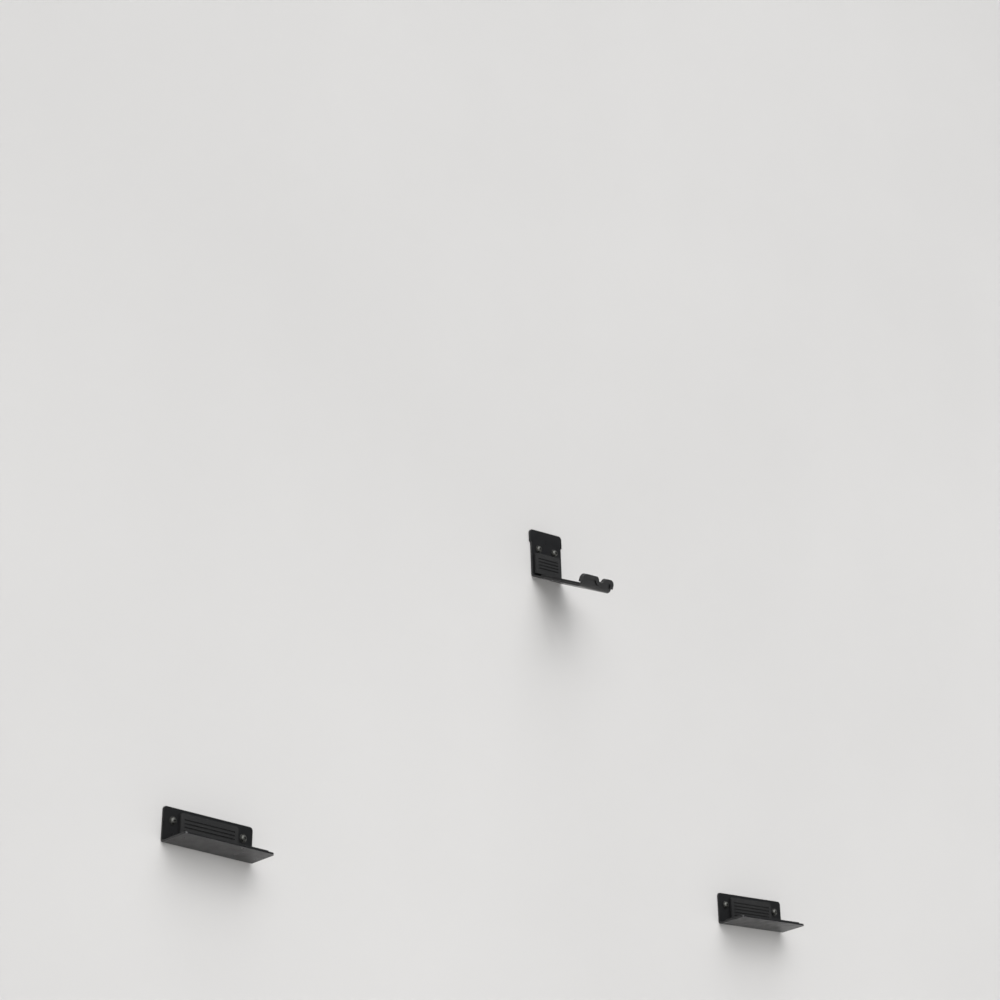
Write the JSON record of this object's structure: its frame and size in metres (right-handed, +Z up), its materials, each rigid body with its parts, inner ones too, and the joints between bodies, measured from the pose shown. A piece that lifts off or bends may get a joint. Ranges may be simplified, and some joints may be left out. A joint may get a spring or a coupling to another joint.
{
  "type": "bicycle wall rack",
  "caption": "Wall rack that hangs a bicycle by one pedal in a lined sloping steel hook, with a padded steel tray under each wheel.",
  "frame": {"origin": "middle of the pedal hook's wall plate, on its back face, where it meets the wall", "axes": "+X along the wall towards the rear wheel's tray, +Y into the wall, +Z up"},
  "size_m": [1.2887, 0.1555, 0.5806],
  "materials": {
    "black_powder_coat": "semi-gloss black powder coat on bent steel sheet",
    "rubber_pad": "matt black moulded rubber with straight grooves",
    "rubber_trim": "satin black rubber edge trim",
    "zinc_screw": "dark zinc plate, dulled",
    "zinc_washer": "dark zinc plate, stamped",
    "nylon_plug": "plain grey moulded nylon"
  },
  "bodies": {
    "root": {"hook_bracket": "black_powder_coat", "hook_shelf_pad": "rubber_pad", "hook_wall_pad": "rubber_pad", "hook_lip_trim": "rubber_trim", "hook_screw_left": "zinc_screw", "hook_washer_left": "zinc_washer", "hook_wall_plug_left": "nylon_plug", "hook_screw_right": "zinc_screw", "hook_washer_right": "zinc_washer", "hook_wall_plug_right": "nylon_plug", "front_tray_bracket": "black_powder_coat", "front_tray_shelf_pad": "rubber_pad", "front_tray_wall_pad": "rubber_pad", "front_tray_screw_left": "zinc_screw", "front_tray_washer_left": "zinc_washer", "front_tray_wall_plug_left": "nylon_plug", "front_tray_screw_right": "zinc_screw", "front_tray_washer_right": "zinc_washer", "front_tray_wall_plug_right": "nylon_plug", "rear_tray_bracket": "black_powder_coat", "rear_tray_shelf_pad": "rubber_pad", "rear_tray_wall_pad": "rubber_pad", "rear_tray_screw_left": "zinc_screw", "rear_tray_washer_left": "zinc_washer", "rear_tray_wall_plug_left": "nylon_plug", "rear_tray_screw_right": "zinc_screw", "rear_tray_washer_right": "zinc_washer", "rear_tray_wall_plug_right": "nylon_plug"}
  },
  "joints": []
}
